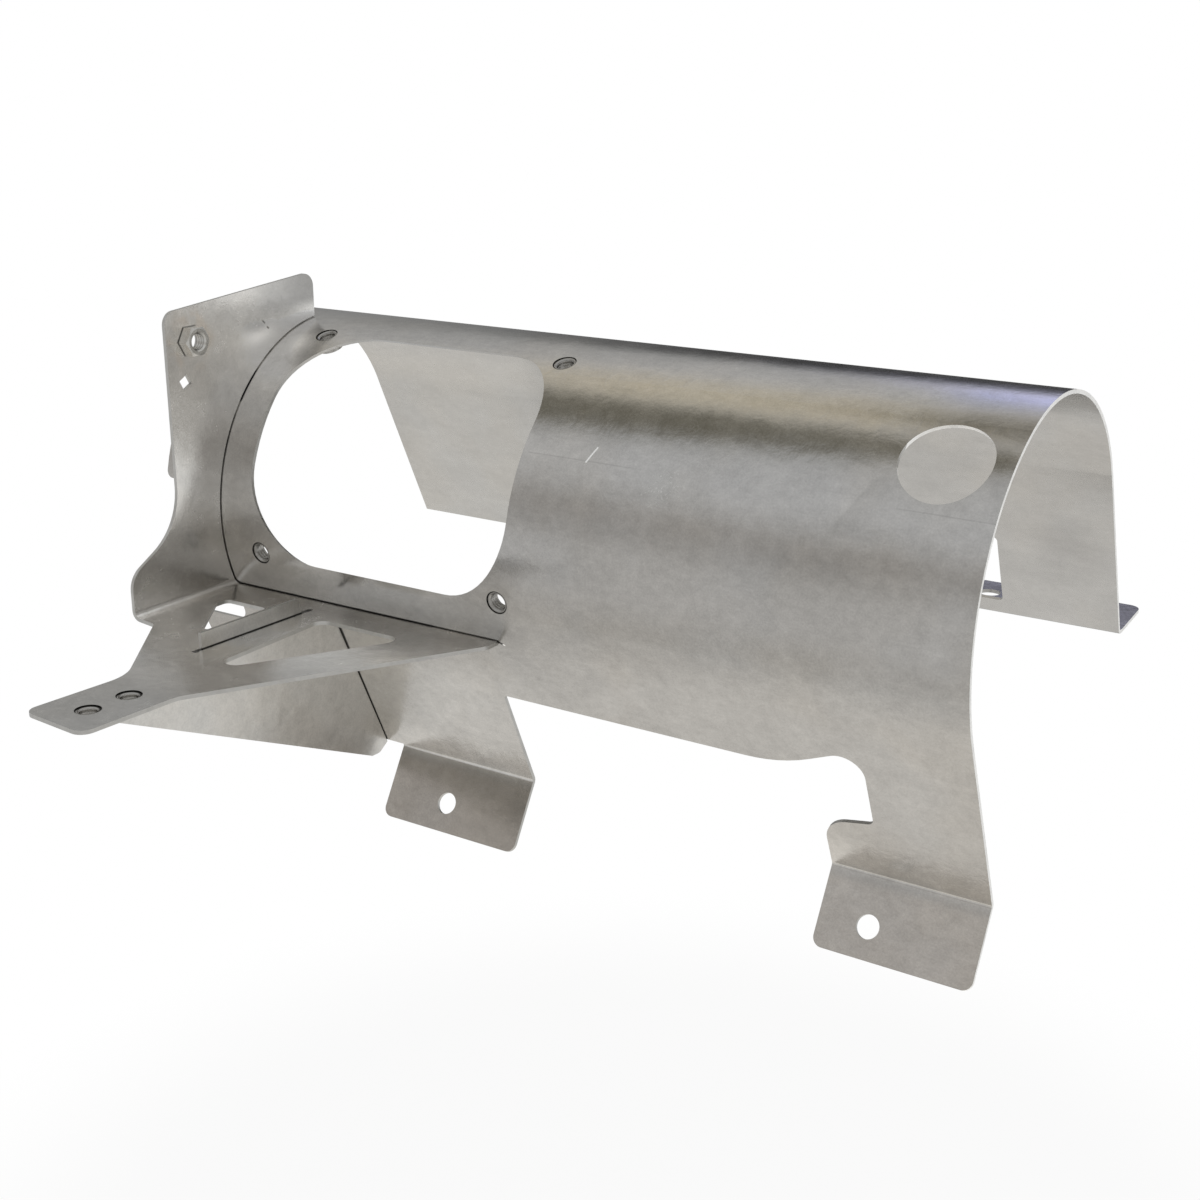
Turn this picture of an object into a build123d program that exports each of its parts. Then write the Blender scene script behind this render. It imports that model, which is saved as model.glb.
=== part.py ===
from build123d import *
import os
from math import cos, radians, sin, sqrt, tan

os.makedirs("parts", exist_ok=True)

# Frame: X runs along the shroud, Y points to its back, Z is up, square to the shelf.
# The part is drawn from the corner where the shroud's front face, the end plate's inner
# face and the shelf's top face meet. At the end all pieces move together, so that the
# origin is midway between the two foot holes, on the feet's front face.

# Sheet and seams
sheet = 1.5
fold_radius = 1.5
shelf_fold_radius = 2.5
seam_groove = 0.5
nudge = 1.0

# Shroud section, traced on its outer face from the front foot over the arch to the back flange
left_end = -31.5
right_end = 326.0
front_lean = 23.9
front_straight = 76.8
front_radius = 76.3
front_sweep = 86.3
back_radius = 66.8
back_sweep = 94.5
knee_y = -0.2
knee_z = -0.7
foot_slope = 60.0
foot_length = 30.7
flange_top = -5.0
flange_reach = 191.2

# Feet
foot_hole = 9.0
foot_hole_down = 18.7
foot_corner = 4.0
left_foot_from = 61.5
left_foot_to = 129.7
left_hole_x = 91.5
right_foot_from = 264.5
right_hole_x = 283.8

# Cut-away between the feet, measured down the front leg from the knee
notch_down = 29.2
notch_corner = 2.0
ramp_x = 251.0
ramp_radius = 60.0
hook_x = 284.8
hook_down = 13.1
hook_radius = 8.5
heel_down = 49.4
heel_corner = 3.0
throat_down = 53.9
throat_radius = 11.5

# Relief in the front face behind the end plate
relief_x = -3.0
relief_bottom = -19.8
relief_top = 42.4
relief_corner = 6.5

# Large opening, drawn on the chord of the front face
opening_x = 80.1
opening_width = 128.3
opening_height = 96.8
opening_low_y = -5.6
opening_low_z = 16.3
opening_tilt = 29.0
left_corner = 34.0
right_corner = 29.0

# Round hole in the shoulder
shoulder_hole = 32.2
shoulder_hole_x = 303.1
shoulder_angle = 49.0

# Clinch nuts, thread M8
nut_span = 120.0
lower_nut_angle = -9.7
upper_nut_angle = 68.1
nut_hole = 9.0
nut_shank = 8.6
shank_recess = 0.35
nut_rim = 0.5
nut_body = 11.0
nut_height = 4.1
nut_bore = 6.7

# Back leg, its flange and the window above the flange hole
back_left_shoulder = -26.1
back_left_foot = -23.2
back_overrun = 0.5
flange_from = 203.0
flange_taper = 2.0
flange_corner = 5.0
flange_hole = 9.0
flange_hole_x = 264.7
flange_hole_y = 175.5
window_width = 28.0
window_top = 30.4
window_bottom = 0.6
window_corner = 2.0

# End plate
plate_front = -29.5
plate_back = 55.3
plate_top_front = 116.4
plate_top_back = 123.9
plate_corner_front = 5.5
plate_corner_back = 5.5
skirt_front = -56.4
skirt_shoulder = 16.2
neck_shoulder = 31.5
skirt_radius = 10.0
neck_radius = 27.0
square_hole = 4.6
square_hole_y = -20.9
square_hole_z = 88.2
square_turn = 29.0

# Hexagon weld nut on the end plate, thread M8
hex_flats = 11.0
hex_height = 5.0
hex_y = -16.9
hex_z = 104.3
hex_face = 10.2
hex_bevel = 30.0
hex_mouth = 7.8
plate_nut_hole = 8.2

# Shelf with its ear, corner by corner
shelf_start = (12.0, -57.9)
shelf_neck = (47.2, -103.3)
ear_left_tip = (44.1, -146.4)
ear_right_tip = (76.3, -149.1)
ear_root = (78.0, -108.3)
shelf_end = (136.6, -7.2)
start_radius = 4.0
neck_sweep = 20.0
ear_radius = 5.0
root_radius = 10.0
end_radius = 4.0
ear_nut_inner = (62.8, -116.3)
ear_nut_outer = (61.7, -133.5)

# Triangular cut-outs in the shelf
near_cut_left = 13.2
near_cut_right = 35.4
near_cut_back = -19.4
near_cut_step = -25.7
near_cut_tip = -56.3
near_cut_radius = 2.5
far_cut_left = 62.8
far_cut_right = 107.0
far_cut_back = -18.0
far_cut_tip = (65.0, -87.0)
far_cut_radius = 5.0

# Gusset under the shelf; its tab stands in the shelf's slit
gusset_x = 51.6
gusset_turn = 1.8
tab_front = -68.7
tab_back = -15.7
tab_back_top = -18.1
tab_height = 6.4
slit_front = -72.7
slit_back = -10.5
slit_gap = 0.6
nose_y = -136.0
nose_z = -4.2
heel_y = 20.8
heel_z = -74.6
toe_y = 25.5
step_y = 32.0
step_z = -70.1
toe_radius = 3.0

# Places that follow from the dimensions
lean = radians(front_lean)
slope = radians(foot_slope)
knee = (knee_y, knee_z)
front_down = (sin(lean), -cos(lean))
front_fold = (
    knee_y + front_straight * front_down[0],
    knee_z + front_straight * front_down[1],
)
foot_down = (-cos(slope), -sin(slope))
foot_tip = (
    front_fold[0] + foot_length * foot_down[0],
    front_fold[1] + foot_length * foot_down[1],
)
front_centre = (
    knee_y + front_radius * cos(lean),
    knee_z + front_radius * sin(lean),
)
join_angle = radians(front_sweep - front_lean)
join = (
    front_centre[0] - front_radius * cos(join_angle),
    front_centre[1] + front_radius * sin(join_angle),
)
back_centre = (
    join[0] + back_radius * cos(join_angle),
    join[1] - back_radius * sin(join_angle),
)
back_angle = join_angle + radians(back_sweep)
arch_end = (
    back_centre[0] - back_radius * cos(back_angle),
    back_centre[1] + back_radius * sin(back_angle),
)
back_down = (sin(back_angle), cos(back_angle))
back_straight = (arch_end[1] - flange_top) / -back_down[1]
back_fold = (arch_end[0] + back_straight * back_down[0], flange_top)
window_top_down = (arch_end[1] - window_top) / -back_down[1]
window_bottom_down = (arch_end[1] - window_bottom) / -back_down[1]
nut_mouth = nut_shank - 2 * nut_rim
mouth_depth = (nut_mouth - nut_bore) / 2
hex_spread = hex_height / tan(radians(hex_bevel))


def arc_place(centre, radius, angle):
    """Point on an arc of the section and the direction out of the sheet there."""
    a = radians(angle)
    point = (centre[0] - radius * cos(a), centre[1] + radius * sin(a))
    return point, (-cos(a), sin(a))


def face_plane(x, place):
    """Plane on the shroud's outer face whose Z points straight out of the sheet."""
    point, out = place
    return Plane(origin=(x, point[0], point[1]), x_dir=(1, 0, 0), z_dir=(0, out[0], out[1]))


def near(shape, x, y):
    """The corner of a flat outline that lies nearest to a point."""
    return shape.vertices().sort_by_distance((x, y, 0))[0]


def edge_near(part, axis, x, y, z):
    """The edge along an axis that lies nearest to a point."""
    return part.edges().filter_by(axis).sort_by_distance((x, y, z))[0]


def seat_drop(inner_radius):
    """How far a flat nut stands off the middle of a hollow-curved sheet."""
    return inner_radius - sqrt(inner_radius**2 - (nut_body / 2) ** 2)


def clinch_nut(seat, drop):
    """A nut behind the sheet, standing off by drop, with its shank up in the sheet's hole."""
    hang = (Align.CENTER, Align.CENTER, Align.MAX)
    stand = (Align.CENTER, Align.CENTER, Align.MIN)
    with Locations(seat.offset(-shank_recess)):
        Cylinder(nut_shank / 2, sheet + drop - shank_recess, align=hang)
    with Locations(seat.offset(-sheet - drop)):
        Cylinder(nut_body / 2, nut_height, align=hang)
    with Locations(seat.offset(-shank_recess)):
        Cylinder(nut_bore / 2, sheet + drop + nut_height, align=hang, mode=Mode.SUBTRACT)
        Cone(nut_bore / 2, nut_mouth / 2, mouth_depth, align=hang, mode=Mode.SUBTRACT)
    with Locations(seat.offset(-sheet - drop - nut_height)):
        Cone(nut_mouth / 2, nut_bore / 2, mouth_depth, align=stand, mode=Mode.SUBTRACT)


nut_seats = []
for side in (-1, 1):
    nut_x = opening_x + side * nut_span / 2
    lower = arc_place(front_centre, front_radius, lower_nut_angle)
    upper = arc_place(back_centre, back_radius, upper_nut_angle)
    nut_seats.append((face_plane(nut_x, lower), seat_drop(front_radius - sheet)))
    nut_seats.append((face_plane(nut_x, upper), seat_drop(back_radius - sheet)))
shoulder_plane = face_plane(
    shoulder_hole_x, arc_place(front_centre, front_radius, shoulder_angle)
)

# In these planes X is the shroud's X, Y runs up the sheet and Z points out of it
leg_plane = Plane(
    origin=(0, knee_y, knee_z), x_dir=(1, 0, 0), z_dir=(0, -cos(lean), -sin(lean))
)
foot_plane = Plane(
    origin=(0, front_fold[0], front_fold[1]),
    x_dir=(1, 0, 0),
    z_dir=(0, -sin(slope), cos(slope)),
)
chord_plane = Plane(
    origin=(opening_x, opening_low_y, opening_low_z),
    x_dir=(1, 0, 0),
    z_dir=(0, -cos(radians(opening_tilt)), sin(radians(opening_tilt))),
)
# Here X runs the other way, because this face looks to the back
back_plane = Plane(
    origin=(0, arch_end[0], arch_end[1]),
    x_dir=(-1, 0, 0),
    z_dir=(0, -back_down[1], back_down[0]),
)
# Here X runs to the back along the gusset and Y is up
gusset_plane = Plane(
    origin=(gusset_x, 0, 0),
    x_dir=(sin(radians(gusset_turn)), cos(radians(gusset_turn)), 0),
    z_dir=(cos(radians(gusset_turn)), -sin(radians(gusset_turn)), 0),
)

# Shroud: one folded sheet with its two feet and its back flange
with BuildPart() as shroud:
    with BuildSketch(Plane.YZ.offset(left_end)):
        with BuildLine() as trace:
            Line(foot_tip, front_fold)
            Line(front_fold, knee)
            front_curve = JernArc(knee, (-front_down[0], -front_down[1]), front_radius, -front_sweep)
            back_curve = JernArc(join, front_curve % 1, back_radius, -back_sweep)
            Line(back_curve @ 1, back_fold)
            Line(back_fold, (flange_reach, flange_top))
            fillet(near(trace, front_fold[0], front_fold[1]), fold_radius)
            fillet(near(trace, back_fold[0], back_fold[1]), fold_radius)
            offset(amount=sheet, side=Side.RIGHT)
        make_face()
    extrude(amount=right_end - left_end)

    # Lower edge of the front leg: plain at the left, cut away between the feet
    with BuildSketch(leg_plane) as lower_edge:
        with Locations((left_end - nudge, -front_straight + fold_radius / 2)):
            Rectangle(
                left_foot_from - left_end + nudge,
                2 * foot_length,
                align=(Align.MIN, Align.MAX),
            )
        with BuildLine():
            Polyline(
                (left_foot_to, -front_straight - 2 * foot_length),
                (left_foot_to, -notch_down),
                (ramp_x, -notch_down),
                (hook_x, -hook_down),
                (hook_x, -heel_down),
                (right_foot_from, -throat_down),
                (right_foot_from, -front_straight - 2 * foot_length),
                close=True,
            )
        make_face()
        fillet(near(lower_edge, left_foot_to, -notch_down), notch_corner)
        fillet(near(lower_edge, ramp_x, -notch_down), ramp_radius)
        fillet(near(lower_edge, hook_x, -hook_down), hook_radius)
        fillet(near(lower_edge, hook_x, -heel_down), heel_corner)
        fillet(near(lower_edge, right_foot_from, -throat_down), throat_radius)
    extrude(amount=foot_length, both=True, mode=Mode.SUBTRACT)

    # Rounded foot corners and the two bolt holes
    for x in (left_foot_from, left_foot_to, right_foot_from, right_end):
        corner = foot_plane.from_local_coords(Vector(x, -foot_length, -sheet / 2))
        thickness = Axis((0, 0, 0), tuple(foot_plane.z_dir))
        fillet(edge_near(shroud, thickness, corner.X, corner.Y, corner.Z), foot_corner)
    with BuildSketch(foot_plane):
        with Locations((left_hole_x, -foot_hole_down), (right_hole_x, -foot_hole_down)):
            Circle(foot_hole / 2)
    extrude(amount=-sheet, mode=Mode.SUBTRACT)

    # Relief in the front face behind the end plate's lower corner. The strip beyond the
    # shroud's end gives the sketch the corners that round the sheet on both sides.
    with BuildSketch(Plane.XZ) as relief:
        with Locations((relief_x, relief_bottom)):
            Rectangle(
                relief_x - left_end + nudge,
                relief_top - relief_bottom,
                align=(Align.MAX, Align.MIN),
            )
        with Locations((left_end, relief_bottom - 2 * relief_corner)):
            Rectangle(
                nudge,
                relief_top - relief_bottom + 4 * relief_corner,
                align=(Align.MAX, Align.MIN),
            )
        for level in (relief_bottom, relief_top):
            fillet(near(relief, relief_x, level), relief_corner)
        fillet(near(relief, left_end, relief_bottom), relief_corner)
        fillet(near(relief, left_end, relief_top), relief_corner / 2)
    extrude(amount=front_radius / 2, both=True, mode=Mode.SUBTRACT)

    # Large opening, cut square to its chord
    with BuildSketch(chord_plane) as opening:
        Rectangle(opening_width, opening_height, align=(Align.CENTER, Align.MIN))
        for level in (0, opening_height):
            fillet(near(opening, -opening_width / 2, level), left_corner)
            fillet(near(opening, opening_width / 2, level), right_corner)
    extrude(amount=front_radius / 3, both=True, mode=Mode.SUBTRACT)

    # Round hole in the shoulder and the holes for the opening's four nuts
    with BuildSketch(shoulder_plane):
        Circle(shoulder_hole / 2)
    extrude(amount=3 * sheet, both=True, mode=Mode.SUBTRACT)
    for seat, drop in nut_seats:
        with BuildSketch(seat):
            Circle(nut_hole / 2)
        extrude(amount=2 * sheet, both=True, mode=Mode.SUBTRACT)

    # Back leg: no flange to the left of flange_from, where the leg runs on straight
    with BuildSketch(back_plane.offset(-2 * sheet)):
        with Locations((-flange_from, -back_straight + 2 * fold_radius)):
            Rectangle(
                flange_from - left_end + nudge,
                back_straight / 2,
                align=(Align.MIN, Align.MAX),
            )
    extrude(amount=flange_reach - back_fold[0] + 3 * sheet, mode=Mode.SUBTRACT)
    with BuildSketch(back_plane):
        with Locations((-flange_from, -back_straight - back_overrun)):
            Rectangle(
                flange_from - left_end,
                2 * fold_radius + back_overrun,
                align=(Align.MIN, Align.MIN),
            )
    extrude(amount=-sheet)

    # Slanted left edge, cut from above over the back arc and the back leg
    with BuildSketch(Plane.XY.offset(flange_top - 2 * sheet)):
        with BuildLine():
            Polyline(
                (left_end - nudge, join[0]),
                (left_end, join[0]),
                (back_left_shoulder, arch_end[0]),
                (back_left_foot, back_fold[0]),
                (back_left_foot, flange_reach),
                (left_end - nudge, flange_reach),
                close=True,
            )
        make_face()
    extrude(amount=2 * back_radius + back_straight, mode=Mode.SUBTRACT)

    # Window in the back leg over the flange hole
    with BuildSketch(back_plane) as window:
        with Locations((-flange_hole_x, -window_bottom_down)):
            Rectangle(
                window_width,
                window_bottom_down - window_top_down,
                align=(Align.CENTER, Align.MIN),
            )
        fillet(window.vertices(), window_corner)
    extrude(amount=2 * sheet, both=True, mode=Mode.SUBTRACT)

    # Flange: tapered right end, rounded corners and its bolt hole
    with BuildSketch(Plane.XY.offset(flange_top)):
        with BuildLine():
            Polyline(
                (right_end, back_fold[1] + 2 * fold_radius),
                (right_end, back_fold[0] + 2 * fold_radius),
                (right_end - flange_taper, flange_reach),
                (right_end - flange_taper, flange_reach + nudge),
                (right_end + nudge, flange_reach + nudge),
                (right_end + nudge, back_fold[0] + 2 * fold_radius),
                close=True,
            )
        make_face()
        with Locations((flange_hole_x, flange_hole_y)):
            Circle(flange_hole / 2)
    extrude(amount=-sheet, mode=Mode.SUBTRACT)
    for x in (flange_from, right_end - flange_taper):
        fillet(edge_near(shroud, Axis.Z, x, flange_reach, flange_top), flange_corner)

# Space enclosed by the shroud's outer face; the bracket and the gusset are cut to it
with BuildSketch(Plane.YZ.offset(left_end)) as enclosed:
    with BuildLine():
        Line(front_fold, knee)
        outer_front = JernArc(knee, (-front_down[0], -front_down[1]), front_radius, -front_sweep)
        outer_back = JernArc(join, outer_front % 1, back_radius, -back_sweep)
        Line(outer_back @ 1, back_fold)
        Line(back_fold, front_fold)
    make_face()
arch_space = extrude(enclosed.sketch, amount=right_end - left_end, mode=Mode.PRIVATE)


def lies_on_arch(edge):
    """Whether an edge runs along the shroud's outer face."""
    return all(arch_space.distance_to(Vertex(*(edge @ t))) < 0.01 for t in (0.2, 0.5, 0.8))


# End bracket: the upright end plate and the shelf, folded from one sheet
with BuildPart() as end_bracket:
    with BuildSketch(Plane.YZ) as plate:
        with BuildLine():
            Polyline(
                (skirt_front, shelf_fold_radius),
                (skirt_front, skirt_shoulder),
                (plate_front, neck_shoulder),
                (plate_front, plate_top_front),
                (plate_back, plate_top_back),
                (plate_back, front_centre[1]),
                (front_fold[0], shelf_fold_radius),
                close=True,
            )
        make_face()
        fillet(near(plate, skirt_front, skirt_shoulder), skirt_radius)
        fillet(near(plate, plate_front, neck_shoulder), neck_radius)
        fillet(near(plate, plate_front, plate_top_front), plate_corner_front)
        fillet(near(plate, plate_back, plate_top_back), plate_corner_back)
        with Locations((square_hole_y, square_hole_z)):
            Rectangle(square_hole, square_hole, rotation=square_turn, mode=Mode.SUBTRACT)
        with Locations((hex_y, hex_z)):
            Circle(plate_nut_hole / 2, mode=Mode.SUBTRACT)
    extrude(amount=-sheet)

    # Fold along the bottom of the plate
    with BuildSketch(Plane.XZ.offset(-front_fold[0])):
        with Locations((shelf_fold_radius, shelf_fold_radius)):
            Circle(shelf_fold_radius + sheet)
            Circle(shelf_fold_radius, mode=Mode.SUBTRACT)
            Rectangle(
                2 * shelf_fold_radius,
                2 * shelf_fold_radius,
                align=(Align.MAX, Align.MAX),
                mode=Mode.INTERSECT,
            )
    extrude(amount=front_fold[0] - skirt_front)

    with BuildSketch(Plane.XY) as shelf:
        with BuildLine():
            Polyline(
                (shelf_fold_radius, skirt_front),
                shelf_start,
                shelf_neck,
                ear_left_tip,
                ear_right_tip,
                ear_root,
                shelf_end,
                (shelf_end[0], nudge),
                (shelf_fold_radius, nudge),
                close=True,
            )
        make_face()
        fillet(near(shelf, *shelf_start), start_radius)
        fillet(near(shelf, *shelf_neck), neck_sweep)
        fillet(near(shelf, *ear_left_tip), ear_radius)
        fillet(near(shelf, *ear_right_tip), ear_radius)
        fillet(near(shelf, *ear_root), root_radius)
        fillet(near(shelf, *shelf_end), end_radius)
        with Locations(ear_nut_inner, ear_nut_outer):
            Circle(nut_hole / 2, mode=Mode.SUBTRACT)
    extrude(amount=-sheet)

    with BuildSketch(Plane.XY) as near_cut:
        with BuildLine():
            Polyline(
                (near_cut_left, near_cut_back),
                (near_cut_right, near_cut_back),
                (near_cut_right, near_cut_tip),
                (near_cut_left, near_cut_step),
                close=True,
            )
        make_face()
        fillet(near_cut.vertices(), near_cut_radius)
    extrude(amount=-sheet, mode=Mode.SUBTRACT)
    with BuildSketch(Plane.XY) as far_cut:
        with BuildLine():
            Polyline(
                (far_cut_left, far_cut_back),
                (far_cut_right, far_cut_back),
                far_cut_tip,
                close=True,
            )
        make_face()
        fillet(far_cut.vertices(), far_cut_radius)
    extrude(amount=-sheet, mode=Mode.SUBTRACT)

    # Slit for the gusset's tab, open by slit_gap in front of it
    with BuildSketch(gusset_plane.offset(-sheet)):
        with Locations((slit_front, nudge)):
            Rectangle(slit_back - slit_front, 4 * sheet, align=(Align.MIN, Align.MAX))
    extrude(amount=sheet + slit_gap, mode=Mode.SUBTRACT)

    # Fit against the shroud, with a groove along the seam on the upper side
    add(arch_space, mode=Mode.SUBTRACT)
    upper_side = end_bracket.edges().filter_by(
        lambda e: min((e @ 0.5).X, (e @ 0.5).Z) > -sheet / 2
    )
    chamfer(upper_side.filter_by(lies_on_arch), seam_groove)

# Gusset: flat plate under the shelf with a tab through the slit
with BuildPart() as gusset:
    with BuildSketch(gusset_plane.offset(-sheet)) as web:
        with BuildLine():
            Polyline(
                (tab_front, tab_height),
                (tab_back_top, tab_height),
                (tab_back, -sheet),
                (step_y, -sheet),
                (step_y, step_z),
                (toe_y, heel_z),
                (heel_y, heel_z),
                (nose_y, nose_z),
                (nose_y, -sheet),
                (tab_front, -sheet),
                close=True,
            )
        make_face()
        fillet(near(web, toe_y, heel_z), toe_radius)
    extrude(amount=sheet)
    add(arch_space, mode=Mode.SUBTRACT)
    front_side = gusset.faces().filter_by(gusset_plane).sort_by(Axis.X)[-1].edges()
    chamfer(front_side.filter_by(lies_on_arch), seam_groove)

# Hexagon weld nut on the end plate, turned down to a round face
with BuildPart() as plate_nut:
    with BuildSketch(Plane.YZ):
        with Locations((hex_y, hex_z)):
            RegularPolygon(hex_flats / 2, side_count=6, major_radius=False)
    extrude(amount=hex_height)
    with Locations(Plane(origin=(0, hex_y, hex_z), z_dir=(1, 0, 0))):
        Cone(
            hex_face / 2 + hex_spread,
            hex_face / 2,
            hex_height,
            align=(Align.CENTER, Align.CENTER, Align.MIN),
            mode=Mode.INTERSECT,
        )
        Cylinder(nut_bore / 2, 3 * hex_height, mode=Mode.SUBTRACT)
    rim = plate_nut.edges().filter_by(GeomType.CIRCLE).group_by(Axis.X)[-1]
    chamfer(rim.sort_by(SortBy.RADIUS)[0], (hex_mouth - nut_bore) / 2)

# Clinch nuts round the opening; each stands inside the arch with its shank in the sheet
with BuildPart() as opening_nuts:
    for seat, drop in nut_seats:
        clinch_nut(seat, drop)

# Clinch nuts under the shelf's ear
with BuildPart() as ear_nuts:
    for x, y in (ear_nut_inner, ear_nut_outer):
        clinch_nut(Plane(origin=(x, y, 0)), 0)

# Origin midway between the two foot holes
foot_middle = foot_plane.from_local_coords(
    Vector((left_hole_x + right_hole_x) / 2, -foot_hole_down, 0)
)
for piece in (shroud, end_bracket, gusset, plate_nut, opening_nuts, ear_nuts):
    piece.part.move(Location(-foot_middle))

shroud.part.label = "shroud"
end_bracket.part.label = "end_bracket"
gusset.part.label = "gusset"
plate_nut.part.label = "plate_nut"
opening_nuts.part.label = "opening_nuts"
ear_nuts.part.label = "ear_nuts"
export_step(shroud.part, "parts/shroud.step")
export_step(end_bracket.part, "parts/end_bracket.step")
export_step(gusset.part, "parts/gusset.step")
export_step(plate_nut.part, "parts/plate_nut.step")
export_step(opening_nuts.part, "parts/opening_nuts.step")
export_step(ear_nuts.part, "parts/ear_nuts.step")
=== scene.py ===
import math

import bmesh
import bpy
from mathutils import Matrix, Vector
from mathutils.bvhtree import BVHTree


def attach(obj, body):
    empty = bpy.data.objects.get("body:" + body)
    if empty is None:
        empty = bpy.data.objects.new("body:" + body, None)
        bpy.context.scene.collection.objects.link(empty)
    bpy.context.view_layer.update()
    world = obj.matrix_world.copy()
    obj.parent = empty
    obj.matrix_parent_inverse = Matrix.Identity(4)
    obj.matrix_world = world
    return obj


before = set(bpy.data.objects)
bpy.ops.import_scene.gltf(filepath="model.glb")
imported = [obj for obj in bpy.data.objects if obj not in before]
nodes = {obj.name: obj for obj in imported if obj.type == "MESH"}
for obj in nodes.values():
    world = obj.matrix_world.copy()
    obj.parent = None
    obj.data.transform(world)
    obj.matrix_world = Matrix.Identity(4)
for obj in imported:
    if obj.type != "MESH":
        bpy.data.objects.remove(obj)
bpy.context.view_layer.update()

MM = 0.001

# Sheets, in millimetres in the row frame: an arc is its centre's y and z and its radius
sheet = 1.5
plate_x = -187.65
shelf_z = 87.11
shelf_tip_x = -51.0
front_arc = (47.99, 117.32, 76.3)
back_arc = (43.59, 125.74, 66.8)
join_y = 12.64
knee = (-21.77, 86.41)
front_lean = math.radians(23.9)
arch_middle = (0.0, 45.0, 100.0)
# From this x on, the shroud's cut edges carry a painted highlight
highlight_edges_from_x = 100.0
gusset_x = -136.05
gusset_y = -21.565
gusset_turn = math.radians(1.8)
slit = (-94.45, -32.05)
slit_middle = -63.2

# Nuts: an opening seat is its y and z, then the y and z of the way out through the nut's mouth
hex_centre = (-38.465, 191.409)
hex_half = 5.5
opening_middle_x = -107.55
opening_nut_reach = 60.0
lower_seat = (-27.217, 104.466, -0.9857, -0.1685)
upper_seat = (18.676, 187.720, -0.3730, 0.9278)
ear_seats = ((-124.85, -137.865), (-125.95, -155.065))
thread_pitch = 1.25
thread_bore = 3.45
thread_ridge = 0.3

# Tones shared by several steels
# Near-black for dark joint lines and for painted shade in gaps, crevices, the slit and the slot
joint_and_gap_shade = (0.012, 0.011, 0.010, 1.0)
# Near-white for a scratch and for painted glints and highlights
scratch_and_glint_white = (0.95, 0.95, 0.93, 1.0)
clinch_tone = (0.50, 0.49, 0.465)


class Sock:
    """A shader socket that takes part in Python maths."""

    def __init__(self, tree, socket):
        self.tree, self.socket = tree, socket

    def _math(self, operation, *values):
        return self.tree.add("ShaderNodeMath", {"operation": operation}, dict(enumerate(values)))

    def __add__(self, other):
        return self._math("ADD", self, other)

    __radd__ = __add__

    def __sub__(self, other):
        return self._math("SUBTRACT", self, other)

    def __rsub__(self, other):
        return self._math("SUBTRACT", other, self)

    def __mul__(self, other):
        return self._math("MULTIPLY", self, other)

    __rmul__ = __mul__

    def __truediv__(self, other):
        return self._math("DIVIDE", self, other)

    def root(self):
        return self._math("SQRT", self)

    def highest(self, other):
        return self._math("MAXIMUM", self, other)

    def lowest(self, other):
        return self._math("MINIMUM", self, other)

    def size(self):
        return self._math("ABSOLUTE", self)

    def bell(self, middle, width):
        """1 at middle, falling off like a bell curve of that half width."""
        off = (self - middle) / width
        return self._math("EXPONENT", off * off * -1.0)

    def step(self, start, end):
        """Rises smoothly from 0 at start to 1 at end, or falls where end is the lower one."""
        if end < start:
            return 1.0 - self.step(end, start)
        return self.tree.add(
            "ShaderNodeMapRange",
            {"interpolation_type": "SMOOTHSTEP"},
            {"Value": self, "From Min": start, "From Max": end},
        )


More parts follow.
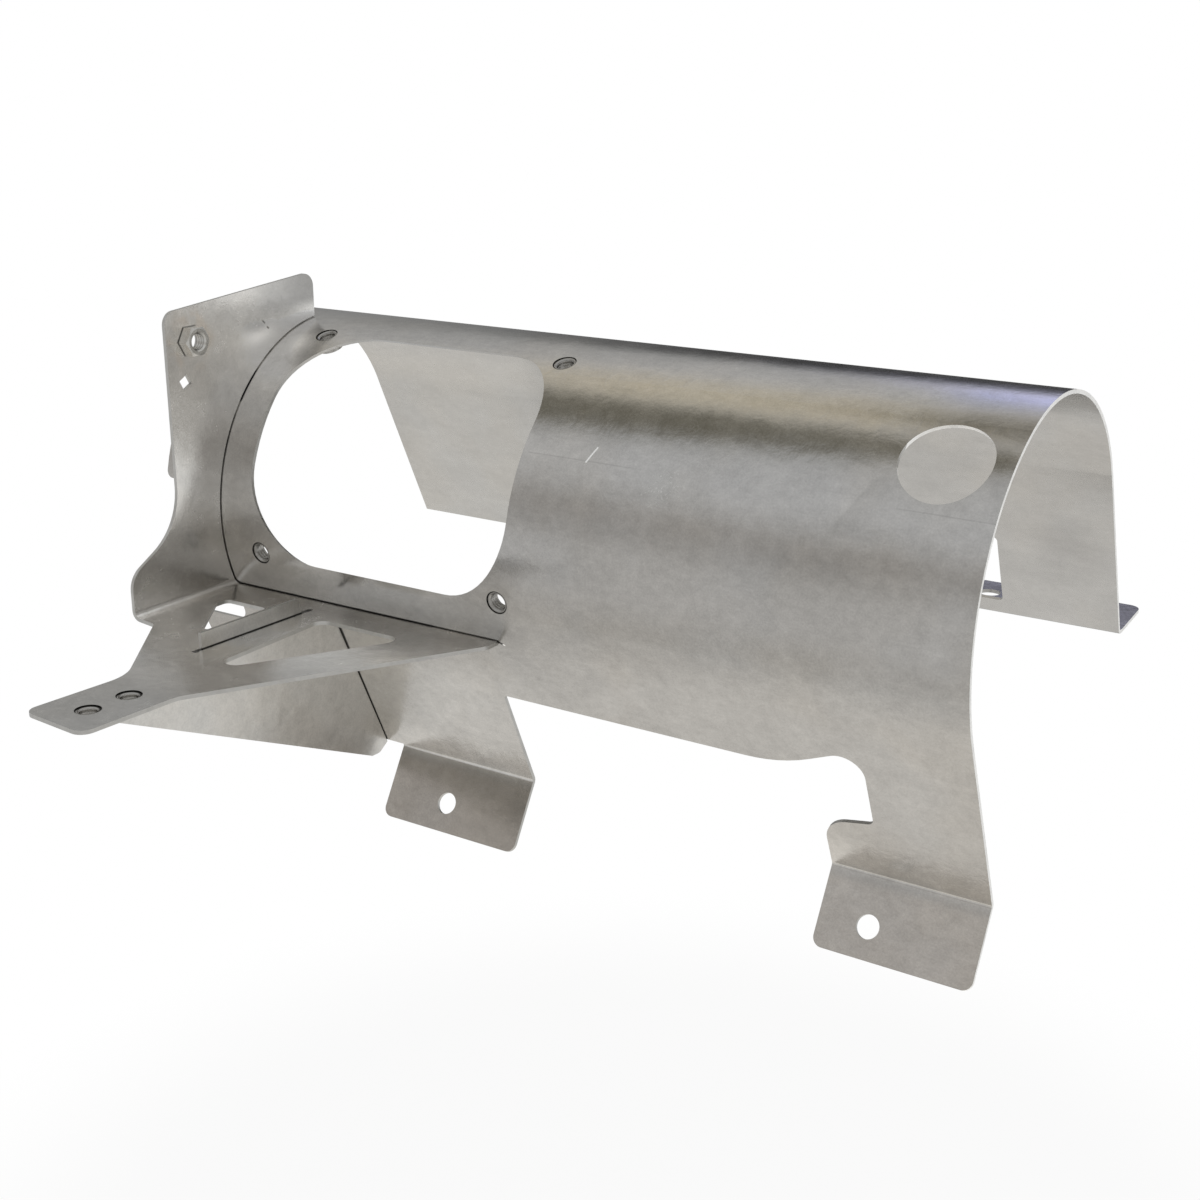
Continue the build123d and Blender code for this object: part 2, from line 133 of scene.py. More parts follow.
class Tree:
    """Adds nodes to a material's or the world's tree."""

    def __init__(self, owner):
        owner.use_nodes = True
        self.nodes, self.links = owner.node_tree.nodes, owner.node_tree.links
        self.nodes.clear()

    def add(self, kind, settings=None, values=None, out=0):
        """Any node: settings first, then each input's value or link; gives the output named by out."""
        node = self.nodes.new(kind)
        for name, value in (settings or {}).items():
            if name == "stops":
                ramp = node.color_ramp
                while len(ramp.elements) > 1:
                    ramp.elements.remove(ramp.elements[-1])
                for i, (place, colour) in enumerate(value):
                    stop = ramp.elements[0] if i == 0 else ramp.elements.new(place)
                    stop.position = place
                    stop.color = (*colour, 1.0)
            else:
                setattr(node, name, value)
        for name, value in (values or {}).items():
            if isinstance(value, Sock):
                self.links.new(value.socket, node.inputs[name])
            else:
                node.inputs[name].default_value = value
        return Sock(self, node.outputs[out]) if len(node.outputs) else node

    def place(self):
        """Object coordinates in millimetres, which is the row frame."""
        metres = self.add("ShaderNodeTexCoord", out="Object")
        return self.add("ShaderNodeVectorMath", {"operation": "SCALE"}, {0: metres, "Scale": 1 / MM})

    def moved(self, vector, location=(0, 0, 0), rotation=(0, 0, 0), scale=(1, 1, 1)):
        return self.add(
            "ShaderNodeMapping",
            {"vector_type": "POINT"},
            {"Vector": vector, "Location": location, "Rotation": rotation, "Scale": scale},
        )

    def noise(self, vector, size, detail=3.0, roughness=0.5, distortion=0.0):
        """Noise about 0 whose largest blots measure size millimetres."""
        values = {
            "Vector": vector,
            "Scale": 1.0 / size,
            "Detail": detail,
            "Roughness": roughness,
            "Distortion": distortion,
        }
        return self.add("ShaderNodeTexNoise", {"noise_dimensions": "3D"}, values, out="Fac") - 0.5

    def parts(self, vector):
        """The x, y and z of a vector."""
        first = self.add("ShaderNodeSeparateXYZ", None, {"Vector": vector})
        return [Sock(self, out) for out in first.socket.node.outputs]

    def mix(self, factor, a, b, blend="MIX"):
        return self.add(
            "ShaderNodeMix",
            {"data_type": "RGBA", "blend_type": blend},
            {0: factor, 6: a, 7: b},
            out=2,
        )

    def shade(self, colour, value):
        """Colour times value."""
        grey = self.add("ShaderNodeCombineColor", None, {0: value, 1: value, 2: value})
        return self.mix(1.0, colour, grey, "MULTIPLY")

    def tint(self, factor, colour, by):
        """Colour, multiplied by another where factor is 1."""
        return self.mix(factor, colour, self.mix(1.0, colour, (*by, 1.0), "MULTIPLY"))

    def near_line(self, point, start, end, width):
        """1 on the straight line from start to end, 0 from width off it."""
        run = Vector(end) - Vector(start)
        off = self.add("ShaderNodeVectorMath", {"operation": "SUBTRACT"}, {0: point, 1: start})
        share = {0: off, 1: run / run.length_squared}
        along = self.add("ShaderNodeVectorMath", {"operation": "DOT_PRODUCT"}, share, out=1)
        along = along.highest(0.0).lowest(1.0)
        foot = self.add("ShaderNodeVectorMath", {"operation": "SCALE"}, {0: run, "Scale": along})
        apart = self.add("ShaderNodeVectorMath", {"operation": "DISTANCE"}, {0: off, 1: foot}, out=1)
        return apart.step(width, width * 0.4)

    def relief(self, height):
        """Normal from a height in millimetres."""
        return self.add("ShaderNodeBump", None, {"Strength": 1.0, "Distance": MM, "Height": height})

    def finish(self, colour, rough, height):
        """Bare metal of that colour, roughness and height."""
        values = {"Base Color": colour, "Metallic": 1.0, "Roughness": rough, "Normal": self.relief(height)}
        shader = self.add("ShaderNodeBsdfPrincipled", None, values)
        self.add("ShaderNodeOutputMaterial", None, {"Surface": shader})


def steel(name):
    """A new material, its tree, the place in millimetres, and that place's x, y and z."""
    material = bpy.data.materials.new(name)
    t = Tree(material)
    here = t.place()
    return material, t, here, t.parts(here)


# Distances from the part's own surfaces and axes
def off_arc(y, z, arc):
    """Distance from the arc's surface, outwards."""
    across, up = y - arc[0], z - arc[1]
    return (across * across + up * up).root() - arc[2]


def off_level(place, level):
    """Distance from a level, to either side of it."""
    return (place - level).size()


def out_of_seat(y, z, seat):
    """Height over an opening seat, along its nut's axis."""
    return (y - seat[0]) * seat[2] + (z - seat[1]) * seat[3]


def past_nut(height):
    """0 beside a clinch nut and a large distance past its ends, by height over its seat."""
    return height.size().step(6.0, 9.0) * 50.0


def off_nut_axis(x, y, z, seat):
    """Distance from the axis of the nearer of a row's two opening nuts."""
    across = (x - opening_middle_x).size() - opening_nut_reach
    up = (y - seat[0]) * seat[3] - (z - seat[1]) * seat[2]
    return (across * across + up * up).root() + past_nut(out_of_seat(y, z, seat))


def off_ear_axis(x, y, seat):
    """Distance from the axis of an ear nut."""
    across, along = x - seat[0], y - seat[1]
    return (across * across + along * along).root()


# Dark joint lines, and painted shade in joints, gaps and the slit
def nut_gap_shade(x, y, z):
    """Painted shade in the gap round each clinch nut's shank in its sheet hole."""
    off = off_nut_axis(x, y, z, lower_seat).lowest(off_nut_axis(x, y, z, upper_seat))
    for seat in ear_seats:
        off = off.lowest(off_ear_axis(x, y, seat) + past_nut(z - shelf_z))
    return off.step(4.85, 4.5)


def seam_lines_and_shade(t, here, x, y, z):
    """Dark joint lines where the bracket and the gusset meet the shroud, with painted shade in the crevices
    there.
    """
    on_back = y.step(join_y - 0.1, join_y + 0.1)
    off_arch = (off_arc(y, z, front_arc) * (1.0 - on_back) + off_arc(y, z, back_arc) * on_back).size()
    off_leg = ((y - knee[0]) * math.cos(front_lean) + (z - knee[1]) * math.sin(front_lean)).size()
    wide = off_arch.step(0.65, 0.3)

    at_plate = off_level(x, plate_x - sheet / 2).step(1.5, 0.9) * y.step(35.5, 33.5)
    uneven = 0.12 + t.noise(here, 9.0, 2.0) * 0.8 + z.step(165.0, 150.0) * 0.3
    heavy = z.step(162.8, 163.6) * z.step(176.0, 172.0) * y.step(5.0, 0.0)
    by_plate = at_plate * (off_arch.step(0.45, 0.15) * uneven).highest(wide * heavy)

    at_shelf = off_level(z, shelf_z - sheet / 2).step(1.5, 0.9) * x.step(shelf_tip_x, shelf_tip_x - 2.0)
    by_shelf = at_shelf * wide * (x.step(-80.0, -86.0) * 0.55 + 0.3)

    at_gusset = off_level(x, gusset_x - sheet / 2).step(2.2, 1.6) * z.step(shelf_z - 1.0, shelf_z - 2.5)
    by_gusset = at_gusset * off_leg.step(0.45, 0.2) * 0.75
    return (by_plate + by_shelf + by_gusset).lowest(1.0).highest(0.0)


def slit_shade(x, y, z):
    """Dark gap between the gusset's tab and the front wall of its slit in the shelf."""
    off_front = (x - gusset_x - (y - gusset_y) * math.tan(gusset_turn)).size()
    wider_at_ends = (y - slit_middle).size().step(27.0, 29.5) * 0.4
    in_length = y.step(slit[0] - 0.15, slit[0] + 0.15) * y.step(slit[1] + 0.15, slit[1] - 0.15)
    in_sheet = off_level(z, shelf_z - sheet / 2).step(1.35, 1.05)
    return (off_front - wider_at_ends).step(0.6, 0.45) * in_length * in_sheet


# Steels of the sheets
def sheet_steel(name, tone, seed, rough_at, marks=None, calm=1.0):
    """Bare mill-finish sheet: cloudy tone, rolled grain, a slightly wavy skin; calm below 1 is plainer."""
    material, t, here, (x, y, z) = steel(name)
    spot = t.moved(here, location=(seed * 100, seed * 70, seed * 30))
    clouds = t.noise(spot, 30.0, 3.0, 0.5, 0.4)
    blots = t.noise(spot, 9.0, 4.0, 0.6, 0.8)
    specks = t.noise(spot, 3.2, 3.0, 0.55)
    grain = t.noise(spot, 0.8, 2.0, 0.6)
    rubbed = t.noise(t.moved(spot, rotation=(0.4, 0.9, 0.3), scale=(0.4, 1.0, 1.0)), 2.4, 3.0, 0.6)
    rolled = t.noise(t.moved(spot, scale=(0.06, 1.0, 1.0)), 1.6, 3.0, 0.6)

    cloudy = clouds * 0.26 + blots * 0.3 + specks * 0.2
    colour = t.shade((*tone, 1.0), 1.0 + (cloudy + rubbed * 0.17 + rolled * 0.05 + grain * 0.26) * calm)
    colour = t.tint(t.noise(spot, 50.0, 2.0).step(-0.08, 0.14), colour, (1.01, 0.997, 0.978))
    rough = rough_at + clouds * 0.1 + blots * 0.12 + grain * 0.08
    waves = clouds * 0.26 + blots * 0.07 + specks * 0.016
    height = (waves + rubbed * 0.008 + rolled * 0.001 + grain * 0.008) * calm
    if marks:
        colour, rough, height = marks(t, here, x, y, z, colour, rough, height)

    dark = seam_lines_and_shade(t, here, x, y, z).highest(nut_gap_shade(x, y, z)).highest(slit_shade(x, y, z))
    t.finish(t.mix(dark * 0.93, colour, joint_and_gap_shade), rough + dark * 0.4, height)
    return material


def cut_edge(name, tone, rough_at):
    """Sheared edges of the sheets."""
    material, t, here, (x, y, z) = steel(name)
    grain = t.noise(here, 1.2, 3.0, 0.6)
    burr = t.noise(here, 7.0, 3.0, 0.6)
    colour = t.shade((*tone, 1.0), 1.0 + grain * 0.3 + burr * 0.35)
    dark = nut_gap_shade(x, y, z).highest(slit_shade(x, y, z))
    t.finish(t.mix(dark * 0.95, colour, joint_and_gap_shade), rough_at + grain * 0.2, grain * 0.02)
    return material


def on_front_feet(y, z):
    """1 on the front feet, below their folds."""
    return z.step(15.0, 11.0) * y.step(40.0, 20.0)


def shroud_painted_light(x, y, z):
    """Painted light and shade by region on the shroud's outer side, 1 being the plain sheet."""
    front = y.step(20.0, 5.0)
    on_top = z.step(176.0, 182.0)
    over_fold = z.step(13.0, 17.0)
    shaded_fan = (x * 0.83 - z * 0.55 + 14.3).step(0.0, 1.2) * x.step(112.0, 92.0) * y.step(-6.0, -9.0)
    shaded_fan = shaded_fan * z.step(149.0, 151.0) * z.step(171.0, 166.0)
    low_on_leg = z.step(34.0, 22.0) * over_fold * y.step(40.0, 20.0)
    right_foot = on_front_feet(y, z) * x.step(20.0, 50.0)
    under_shelf = x.bell(-85.0, 45.0) * z.step(84.0, 60.0) * over_fold * front
    over_shelf = x.step(-30.0, -50.0) * z.bell(91.0, 6.0) * front
    ridge_end = x.step(88.0, 122.0) * y.bell(13.5, 8.0) * on_top
    left_nut_x = opening_middle_x - opening_nut_reach
    beside_nut = x.bell(left_nut_x - 6.0, 5.5) * y.bell(upper_seat[0] - 5.0, 5.5) * on_top
    by_place = 1.0 + under_shelf * 0.3 - over_shelf * 0.16 - ridge_end * 0.27 + beside_nut
    return by_place * (1.0 + low_on_leg * 0.22 - shaded_fan * 0.1) * (1.0 + right_foot * 0.12)


def shroud_marks(t, here, x, y, z, colour, rough, height):
    """Painted light and shade by region, a scratch with a painted glint, two faint lines of painted shade,
    a patch of painted sparkle, a painted blue reflection, and the painted shade of a slot by the shelf's
    tip with a painted glint at its end.
    """
    front = y.step(-6.0, -9.0)
    # A scratch, its near-white brightness a painted glint
    scratch_glint = t.near_line(here, (-15.3, -15.1, 160.2), (-12.6, -11.6, 165.0), 0.45)
    # Two faint lines of painted shade along creases, with a slight dent
    off_shade_line = (z - 160.4 + t.noise(here, 60.0, 1.0) * 1.2).size()
    shade_line_runs = x.step(-43.0, -39.0) * x.step(12.0, 0.0) + x.step(100.0, 110.0)
    shade_line = off_shade_line.step(0.3, 0.1) * front * shade_line_runs
    # A patch of painted sparkle: near-white specks standing in for glints
    sparkle_specks = t.noise(here, 0.8, 1.0).step(0.16, 0.22)
    sparkle_patch = sparkle_specks * x.bell(18.0, 7.0) * z.bell(156.0, 5.0) * front
    # Painted shade of a small slot by the shelf's tip, and a painted glint at its end
    slot_shade = t.near_line(here, (-51.3, -21.8, 87.0), (-49.1, -21.6, 86.1), 0.7)
    glint = t.near_line(here, (-48.9, -21.6, 86.0), (-48.4, -21.6, 85.8), 0.5)

    colour = t.shade(colour, shroud_painted_light(x, y, z) * (1.0 - shade_line * 0.12))
    colour = t.tint(on_front_feet(y, z), colour, (1.03, 1.0, 0.97))
    # A blue tint at the ridge's right end, a painted reflection of a blue glint
    painted_blue_glint = x.step(92.0, 120.0) * y.bell(28.0, 8.0) * z.step(176.0, 182.0)
    colour = t.tint(painted_blue_glint, colour, (0.96, 1.0, 1.22))
    colour = t.mix(slot_shade * 0.9, colour, joint_and_gap_shade)
    colour = t.mix((scratch_glint + sparkle_patch * 0.5 + glint).lowest(1.0), colour, scratch_and_glint_white)
    return colour, rough + (scratch_glint + sparkle_patch).lowest(1.0) * 0.25, height - shade_line * 0.006


def inside_smear_and_sheen(t, here, x, y, z, colour, rough, height):
    """The inner side is smeared, with a painted sheen beyond the opening and painted shade at its open end.
    """
    on_back = y.step(40.0, 60.0)
    smear = t.noise(t.moved(here, rotation=(0.0, 0.7, 0.0), scale=(0.3, 1.0, 1.0)), 9.0, 4.0, 0.6)
    # Painted shade near the open end, and rubbed here is a painted sheen, brighter beyond the opening
    shade_at_open_end = x.bell(118.0, 12.0) * z.bell(118.0, 12.0) * on_back
    rubbed = x.step(-95.0, -130.0) * on_back
    return t.shade(colour, 1.0 + rubbed * 0.3 - shade_at_open_end * 0.1 + smear * 0.26), rough, height


def bracket_painted_light(x, y, z):
    """Painted light and shade by region on the end plate and on the shelf, 1 being the plain sheet."""
    corner = y.step(-14.0, 12.0) * z.step(188.0, 201.0)
    top_end = y.step(8.0, 28.0) * z.step(193.0, 200.0)
    middle = y.bell(-8.0, 28.0) * z.bell(189.0, 20.0)
    by_arch = y.step(-20.0, 12.0) * (0.68 + y.step(10.0, 32.0) * 0.5)
    by_arch = by_arch * z.step(168.0, 178.0) * z.step(201.0, 190.0)
    low = z.step(125.0, 100.0)
    on_plate = 1.32 - low * 0.08 - corner * 0.5 + middle * 0.18 + by_arch - top_end * 0.22

    seam_side = y.step(-90.0, -45.0)
    cut_outs = y.bell(-76.0, 30.0)
    left_cut_out = x.bell(-126.0, 36.0) * y.bell(-72.0, 22.0)
    ear = y.step(-118.0, -135.0)
    on_shelf = 0.98 + seam_side * 0.3 + cut_outs * 0.4 - ear * 0.12 + left_cut_out * 0.34
    return on_plate + z.step(shelf_z + 2.0, shelf_z + 0.5) * (on_shelf - on_plate)


def bracket_marks(t, here, x, y, z, colour, rough, height):
    """Painted light and shade by region, a warm heat tint and painted shade in the joint round the weld
    nut, two dark ticks, and a painted highlight dot on the plate.
    """
    colour = t.shade(colour, bracket_painted_light(x, y, z))
    across, up = y - hex_centre[0], z - hex_centre[1]
    slant, rise = across * math.cos(math.radians(30)), up * 0.5
    off_hex = up.size().highest((slant + rise).size()).highest((slant - rise).size()) - hex_half
    on_face = off_level(x, plate_x).step(0.3, 0.1)
    # Painted shade in the crevice round the weld nut's hexagon
    hex_joint_shade = off_hex.step(0.55, 0.15) * off_hex.step(-0.6, -0.2) * on_face
    heat = off_hex.bell(3.0, 3.0) * on_face * t.noise(here, 6.0, 2.0).step(-0.1, 0.15)
    long_tick = t.near_line(here, (plate_x, 2.6, 193.8), (plate_x, 3.5, 193.0), 0.5)
    short_tick = t.near_line(here, (plate_x, 4.9, 191.1), (plate_x, 5.6, 190.6), 0.6)
    # burr here is a near-white dot where the seam breaks, a painted highlight
    burr = t.near_line(here, (plate_x, -13.6, 162.8), (plate_x, -13.2, 163.3), 0.6)

    colour = t.tint(heat, colour, (1.0, 0.95, 0.90))
    dark = (hex_joint_shade * 0.6).highest(long_tick.highest(short_tick) * 0.7)
    colour = t.mix(dark, colour, (0.05, 0.048, 0.045, 1.0))
    return t.mix(burr, colour, scratch_and_glint_white), rough, height


# Steels of the nuts
def nut_steel(name, tone, gap=None, mouth=None):
    """Turned steel of the nuts; gap says where painted shade darkens it, mouth where it is darker."""
    material, t, here, (x, y, z) = steel(name)
    wear = t.noise(here, 2.4, 4.0, 0.6)
    rings = t.noise(here, 0.7, 2.0, 0.5)
    colour = t.shade((*tone, 1.0), 1.0 + wear * 0.45 + rings * 0.2)
    rough = 0.28 + wear * 0.2
    if mouth:
        colour = t.shade(colour, 1.0 - mouth(x, y, z) * 0.32)
    if gap:
        dark = gap(x, y, z)
        colour = t.mix(dark * 0.94, colour, joint_and_gap_shade)
        rough = rough + dark * 0.3
    t.finish(colour, rough, wear * 0.03 + rings * 0.006)
    return material


def mouth_cone(off):
    """The cone at a clinch nut's mouth, by distance from its axis."""
    return off.step(3.2, 3.4) * off.step(4.5, 4.3)


def opening_mouth(x, y, z):
    """The mouth cones of the opening's nuts."""
    return mouth_cone(off_nut_axis(x, y, z, lower_seat).lowest(off_nut_axis(x, y, z, upper_seat)))


def ear_mouth(x, y, z):
    """The mouth cones of the ear's nuts, which are darkened less."""
    return mouth_cone(off_ear_axis(x, y, ear_seats[0]).lowest(off_ear_axis(x, y, ear_seats[1]))) * 0.7


def opening_nut_gap_shade(x, y, z):
    """Painted shade on the shank's outer wall, down in the sheet's hole."""
    walls = []
    for seat in (lower_seat, upper_seat):
        depth = out_of_seat(y, z, seat)
        in_row = depth.step(-1.75, -1.6) * depth.step(20.0, 10.0)
        walls.append(off_nut_axis(x, y, z, seat).step(4.1, 4.25) * in_row)
    return walls[0].highest(walls[1])


def ear_nut_gap_shade(x, y, z):
    """Painted shade on the shank's outer wall and a painted shaded crescent on the far side of its mouth.
    """
    rings = []
    for seat in ear_seats:
        off = off_ear_axis(x, y, seat)
        far_side = (y - seat[1] - (x - seat[0]) * 0.4).step(-2.0, 0.5)
        ring = (off.step(3.6, 3.8) * far_side).highest(off.step(4.1, 4.25))
        rings.append(ring * off.step(9.0, 8.0) * z.step(shelf_z - 1.6, shelf_z - 1.5))
    return rings[0].highest(rings[1])


def plate_nut_joint_shade(x, y, z):
    """Painted shade in the joint between the hexagon and the plate."""
    return (x - plate_x).step(0.6, 0.2) * 0.7


# The CAD nodes get their steels
# The shroud's right-hand cut edges get a near-white tone, a painted highlight; other edges the plain edge
# tone
highlight_edge = cut_edge("highlight_edge_steel", (0.93, 0.925, 0.91), 0.45)
dull_edge = cut_edge("dull_edge_steel", (0.50, 0.494, 0.475), 0.4)


def dress(node, material, edge=None, inside=None):
    """Gives a CAD node its material, its sheared faces the edge's, and its inner side one of its own."""
    piece = nodes[node]
    mesh = piece.data
    mesh.materials.clear()
    mesh.materials.append(material)
    if edge is None:
        return
    outer_side, first_edge, inner_side, second_edge = range(4)
    mesh.materials.append(edge)
    if inside:
        mesh.materials.append(inside)
        mesh.materials.append(dull_edge)
    left_edge = second_edge if inside else first_edge
    middle = Vector(arch_middle) * MM
    skin = BVHTree.FromPolygons([v.co for v in mesh.vertices], [p.vertices[:] for p in mesh.polygons])
    for face in mesh.polygons:
        start = face.center - face.normal * 0.01 * MM
        through = skin.ray_cast(start, -face.normal)[3]
        if through is None or through > 1.35 * sheet * MM:
            on_right = face.center.x > highlight_edges_from_x * MM
            face.material_index = first_edge if on_right else left_edge
        elif inside and face.normal.dot(face.center - middle) < 0:
            on_foot = face.normal.z > 0 and (face.normal.y < 0.3 or face.normal.z > 0.8)
            face.material_index = outer_side if on_foot else inner_side


shroud_steel = sheet_steel("shroud_steel", (0.458, 0.450, 0.434), 0.3, 0.2, shroud_marks)
inside_steel = sheet_steel("shroud_inside_steel", (0.466, 0.464, 0.456), 4.1, 0.26, inside_smear_and_sheen, 0.5)
bracket_steel = sheet_steel("bracket_steel", (0.60, 0.593, 0.578), 1.7, 0.24, bracket_marks, 0.85)
gusset_steel = sheet_steel("gusset_steel", (0.645, 0.635, 0.61), 2.9, 0.34)
thread_steel = nut_steel("thread_steel", (0.50, 0.49, 0.47))
dress("shroud", shroud_steel, highlight_edge, inside_steel)
dress("end_bracket", bracket_steel, dull_edge)
dress("gusset", gusset_steel, dull_edge)
dress("plate_nut", nut_steel("weld_nut_steel", (0.56, 0.55, 0.52), plate_nut_joint_shade))
dress("opening_nuts", nut_steel("opening_nut_steel", clinch_tone, opening_nut_gap_shade, opening_mouth))
dress("ear_nuts", nut_steel("ear_nut_steel", clinch_tone, ear_nut_gap_shade, ear_mouth))


# Thread ridges in the nuts' bores
def thread_tree():
    """Ridges of a nut's thread, one ring at each pitch along every edge of the mesh."""
    tree = bpy.data.node_groups.new("thread", "GeometryNodeTree")
    face = tree.interface
    face.new_socket("Geometry", in_out="INPUT", socket_type="NodeSocketGeometry")
    for name, value in (("Pitch", thread_pitch), ("Bore", thread_bore), ("Ridge", thread_ridge)):
        socket = face.new_socket(name, in_out="INPUT", socket_type="NodeSocketFloat")
        socket.default_value = value * MM
    finish = face.new_socket("Finish", in_out="INPUT", socket_type="NodeSocketMaterial")
    face.new_socket("Geometry", in_out="OUTPUT", socket_type="NodeSocketGeometry")
    new, link = tree.nodes.new, tree.links.new
    given, result = new("NodeGroupInput"), new("NodeGroupOutput")
    path = new("GeometryNodeMeshToCurve")
    steps = new("GeometryNodeResampleCurve")
    steps.mode = "LENGTH"
    ring = new("GeometryNodeCurvePrimitiveCircle")
    ring.inputs["Resolution"].default_value = 40
    tooth = new("GeometryNodeCurvePrimitiveCircle")
    tooth.inputs["Resolution"].default_value = 4
    swept = new("GeometryNodeCurveToMesh")
    tangent = new("GeometryNodeInputTangent")
    turn = new("FunctionNodeAlignEulerToVector")
    turn.axis = "Z"
    rings = new("GeometryNodeInstanceOnPoints")
    real = new("GeometryNodeRealizeInstances")
    dressed = new("GeometryNodeSetMaterial")
    link(given.outputs["Geometry"], path.inputs["Mesh"])
    link(path.outputs["Curve"], steps.inputs["Curve"])
    link(given.outputs["Pitch"], steps.inputs["Length"])
    link(given.outputs["Bore"], ring.inputs["Radius"])
    link(given.outputs["Ridge"], tooth.inputs["Radius"])
    link(ring.outputs["Curve"], swept.inputs["Curve"])
    link(tooth.outputs["Curve"], swept.inputs["Profile Curve"])
    link(steps.outputs["Curve"], rings.inputs["Points"])
    link(swept.outputs["Mesh"], rings.inputs["Instance"])
    link(tangent.outputs["Tangent"], turn.inputs["Vector"])
    link(turn.outputs["Rotation"], rings.inputs["Rotation"])
    link(rings.outputs["Instances"], real.inputs["Geometry"])
    link(real.outputs["Geometry"], dressed.inputs["Geometry"])
    link(given.outputs["Finish"], dressed.inputs["Material"])
    link(dressed.outputs["Geometry"], result.inputs["Geometry"])
    return tree, finish.identifier


thread, finish_input = thread_tree()


def threads(name, bores, finish):
    """Thread ridges in a set of bores, each given by its two ends in millimetres."""
    axes = bmesh.new()
    for start, end in bores:
        axes.edges.new([axes.verts.new(Vector(p) * MM) for p in (start, end)])
    mesh = bpy.data.meshes.new(name + "_axes")
    axes.to_mesh(mesh)
    axes.free()
    guide = bpy.data.objects.new(name + "_axes", mesh)
    bpy.context.scene.collection.objects.link(guide)
    modifier = guide.modifiers.new("thread", "NODES")
    modifier.node_group = thread
    modifier[finish_input] = finish
    made = bpy.data.meshes.new_from_object(guide.evaluated_get(bpy.context.evaluated_depsgraph_get()))
    bpy.data.objects.remove(guide)
    made.name = name
    piece = bpy.data.objects.new(name, made)
    bpy.context.scene.collection.objects.link(piece)
    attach(piece, "root")


def bore(seat, way, first, last):
    """Both ends of a bore's thread: how far along way each lies from the seat."""
    return [Vector(seat) + Vector(way) * d for d in (first, last)]


opening_bores = [
    bore((opening_middle_x + side * opening_nut_reach, *seat[:2]), (0, *seat[2:]), -1.2, -5.0)
    for seat in (lower_seat, upper_seat)
    for side in (-1, 1)
]
ear_bores = [bore((*seat, shelf_z), (0, 0, 1), -1.1, -4.9) for seat in ear_seats]
plate_bore = bore((plate_x, *hex_centre), (1, 0, 0), 0.3, 4.1)
threads("opening_nut_threads", opening_bores, thread_steel)
threads("ear_nut_threads", ear_bores, thread_steel)
threads("plate_nut_thread", [plate_bore], thread_steel)

# Floor: a pale round well below the part; seen directly it is white, and mirrored in the steel a warm white
floor_radius = 0.38
floor_z = -0.2
floor_mesh = bpy.data.meshes.new("floor")
disc = bmesh.new()
bmesh.ops.create_circle(disc, cap_ends=True, segments=96, radius=floor_radius)
bmesh.ops.translate(disc, verts=disc.verts, vec=(0.0, 0.0, floor_z))
disc.to_mesh(floor_mesh)
disc.free()
floor = bpy.data.objects.new("floor", floor_mesh)
bpy.context.scene.collection.objects.link(floor)
pale = bpy.data.materials.new("pale_floor")
p = Tree(pale)
px, py = p.parts(p.place())[:2]
reach = (px * px + py * py).root()
camera_ray, glossy_ray, through_ray = (
    p.add("ShaderNodeLightPath", out=f"Is {kind} Ray") for kind in ("Camera", "Glossy", "Transmission")
)
mirrored = p.mix(reach.step(150.0, 370.0), (1.0, 0.972, 0.93, 1.0), (0.72, 0.71, 0.69, 1.0))
cast = p.mix(glossy_ray, (1.0, 1.0, 1.0, 1.0), mirrored)
white_share = camera_ray.highest(glossy_ray).highest(through_ray) * (0.9 + reach.step(220.0, 370.0) * 0.1)
matt = p.add("ShaderNodeBsdfDiffuse", None, {"Color": (0.9, 0.9, 0.9, 1.0)})
glow = p.add("ShaderNodeEmission", None, {"Color": cast, "Strength": 1.0})
ground = p.add("ShaderNodeMixShader", None, {0: white_share, 1: matt, 2: glow})
p.add("ShaderNodeOutputMaterial", None, {"Surface": ground})
floor_mesh.materials.append(pale)
pale.cycles.emission_sampling = "NONE"

# World: white to the camera, and a soft pale room to the steel. Sides are degrees from straight behind
# the part, to its right, and levels are degrees up.
world = bpy.data.worlds.new("studio")
bpy.context.scene.world = world
w = Tree(world)
lx, ly, lz = w.parts(w.add("ShaderNodeTexCoord", out="Generated"))
to_degrees = 180 / math.pi
level = w.add("ShaderNodeMath", {"operation": "ARCSINE"}, {0: lz}) * to_degrees
side = w.add("ShaderNodeMath", {"operation": "ARCTAN2"}, {0: lx, 1: ly}) * to_degrees


def wall(stops):
    """Colour by level."""
    colours = [((e + 90) / 180, c if isinstance(c, tuple) else (c, c, c)) for e, c in stops]
    return w.add("ShaderNodeValToRGB", {"stops": colours}, {0: (level + 90) / 180})


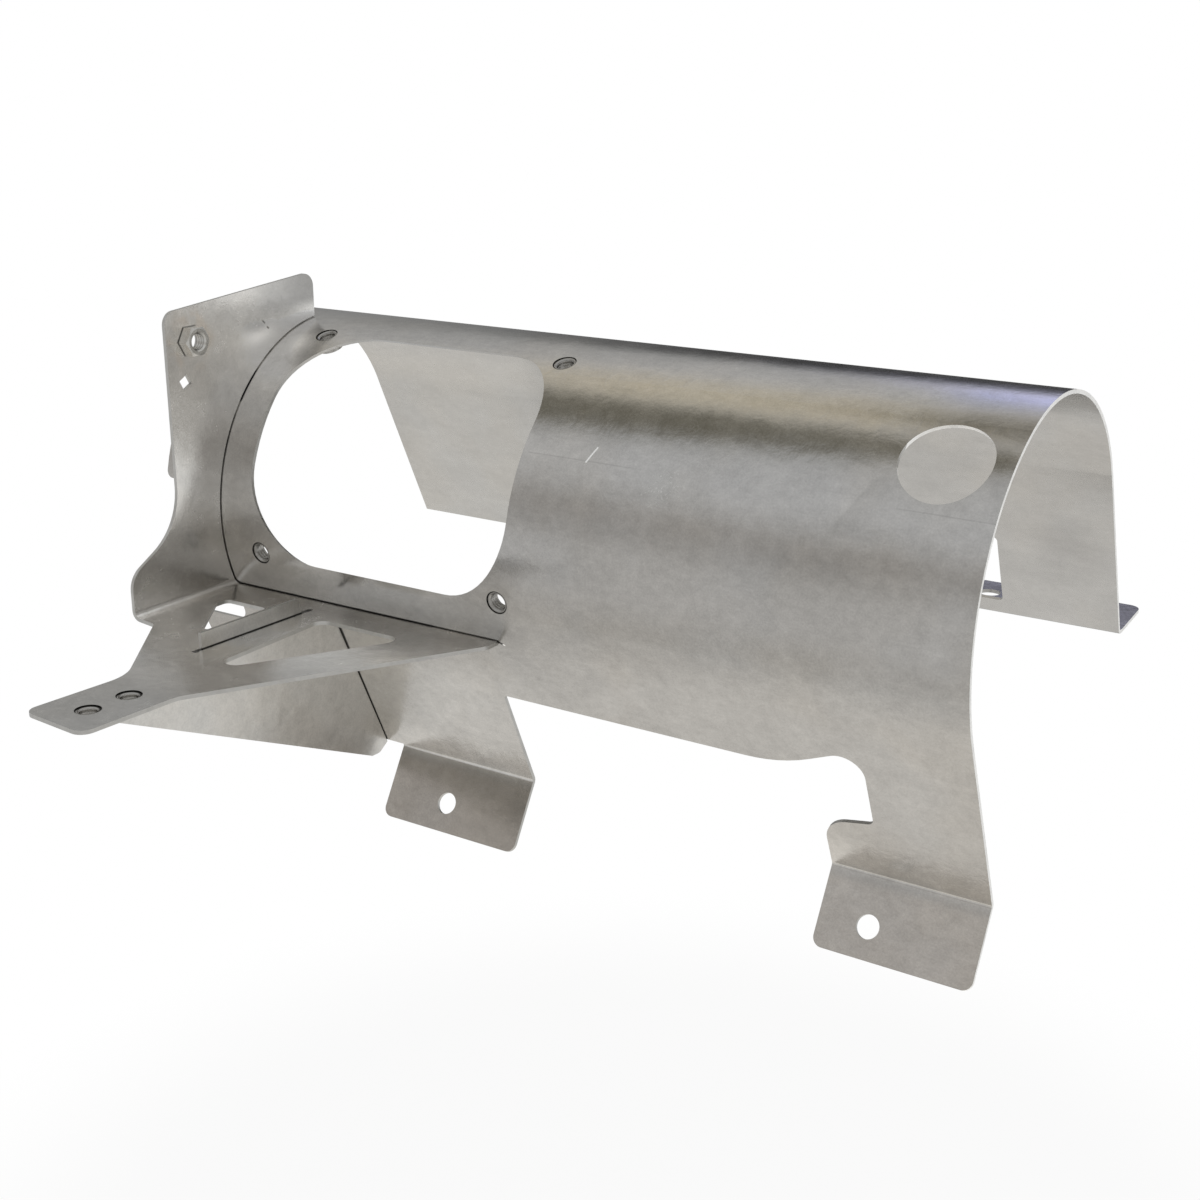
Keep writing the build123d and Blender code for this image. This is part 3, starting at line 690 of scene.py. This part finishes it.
front_wall = wall(
    [
        (-90, (0.95, 0.92, 0.87)),
        (-55, (0.86, 0.835, 0.79)),
        (-36, (0.68, 0.665, 0.64)),
        (-19, 0.76),
        (0, 0.74),
        (14, (0.56, 0.55, 0.54)),
        (22, (0.55, 0.53, 0.51)),
        (31, 0.70),
        (40, (0.80, 0.81, 0.825)),
        (58, (0.76, 0.77, 0.785)),
        (75, 0.75),
    ]
)
back_wall = wall(
    [
        (-90, (0.95, 0.92, 0.87)),
        (-30, 0.62),
        (-8, 0.50),
        (14, 0.46),
        (25, 0.52),
        (31, 0.60),
        (38, 0.70),
        (50, 0.80),
        (62, 0.76),
        (75, 0.75),
    ]
)
dim_wall = side.step(2.0, -14.0) * (1.0 - side.step(-26.0, -42.0) * 0.5) * side.step(-76.0, -58.0)
dim_wall = dim_wall * level.step(-22.0, 2.0) * level.step(29.0, 16.0)
grey_patch = side.bell(-52.0, 12.0) * level.bell(16.0, 12.0)
beige_patch = side.bell(-56.0, 26.0) * level.bell(57.0, 9.0)
beam = side.step(-124.0, -106.0) * side.step(-68.0, -88.0) * level.step(44.0, 50.0)
beam_end = side.bell(-41.0, 11.0) * level.step(54.0, 58.5)
window = side.bell(-17.0, 6.5) * level.bell(32.0, 9.5)
right_wall = side.bell(50.0, 34.0) * level.bell(-12.0, 24.0)
around = w.mix(ly.step(0.25, -0.25), back_wall, front_wall)
around = w.mix(dim_wall, around, (0.04, 0.04, 0.04, 1.0))
around = w.mix(grey_patch, around, (0.46, 0.46, 0.45, 1.0))
around = w.tint(beige_patch, around, (1.16, 1.04, 0.79))
around = w.mix(beam.highest(beam_end * 0.9), around, (0.23, 0.215, 0.17, 1.0))
around = w.mix(window, around, (1.30, 1.33, 1.85, 1.0))
around = w.mix(right_wall, around, (0.98, 0.98, 0.97, 1.0))
lit = w.add("ShaderNodeBackground", None, {"Color": around, "Strength": 1.0})
white = w.add("ShaderNodeBackground", None, {"Color": (1, 1, 1, 1), "Strength": 1.0})
seen = w.add("ShaderNodeLightPath", out="Is Camera Ray")
studio = w.add("ShaderNodeMixShader", None, {0: seen, 1: lit, 2: white})
w.add("ShaderNodeOutputWorld", None, {"Surface": studio})

# Camera at the photograph's viewing angle
eye_at = Vector((316.85, -511.72, 302.023)) * MM
eye_down = math.radians(17.984)
eye_turn = math.radians(33.296)
eye = bpy.data.cameras.new("camera")
eye.lens = 51.2
eye.sensor_width = 36.0
eye.clip_end = 50.0
camera = bpy.data.objects.new("camera", eye)
bpy.context.scene.collection.objects.link(camera)
camera.location = eye_at
camera.rotation_euler = (math.pi / 2 - eye_down, 0, eye_turn)
bpy.context.scene.camera = camera

bpy.context.scene.view_settings.view_transform = "Standard"
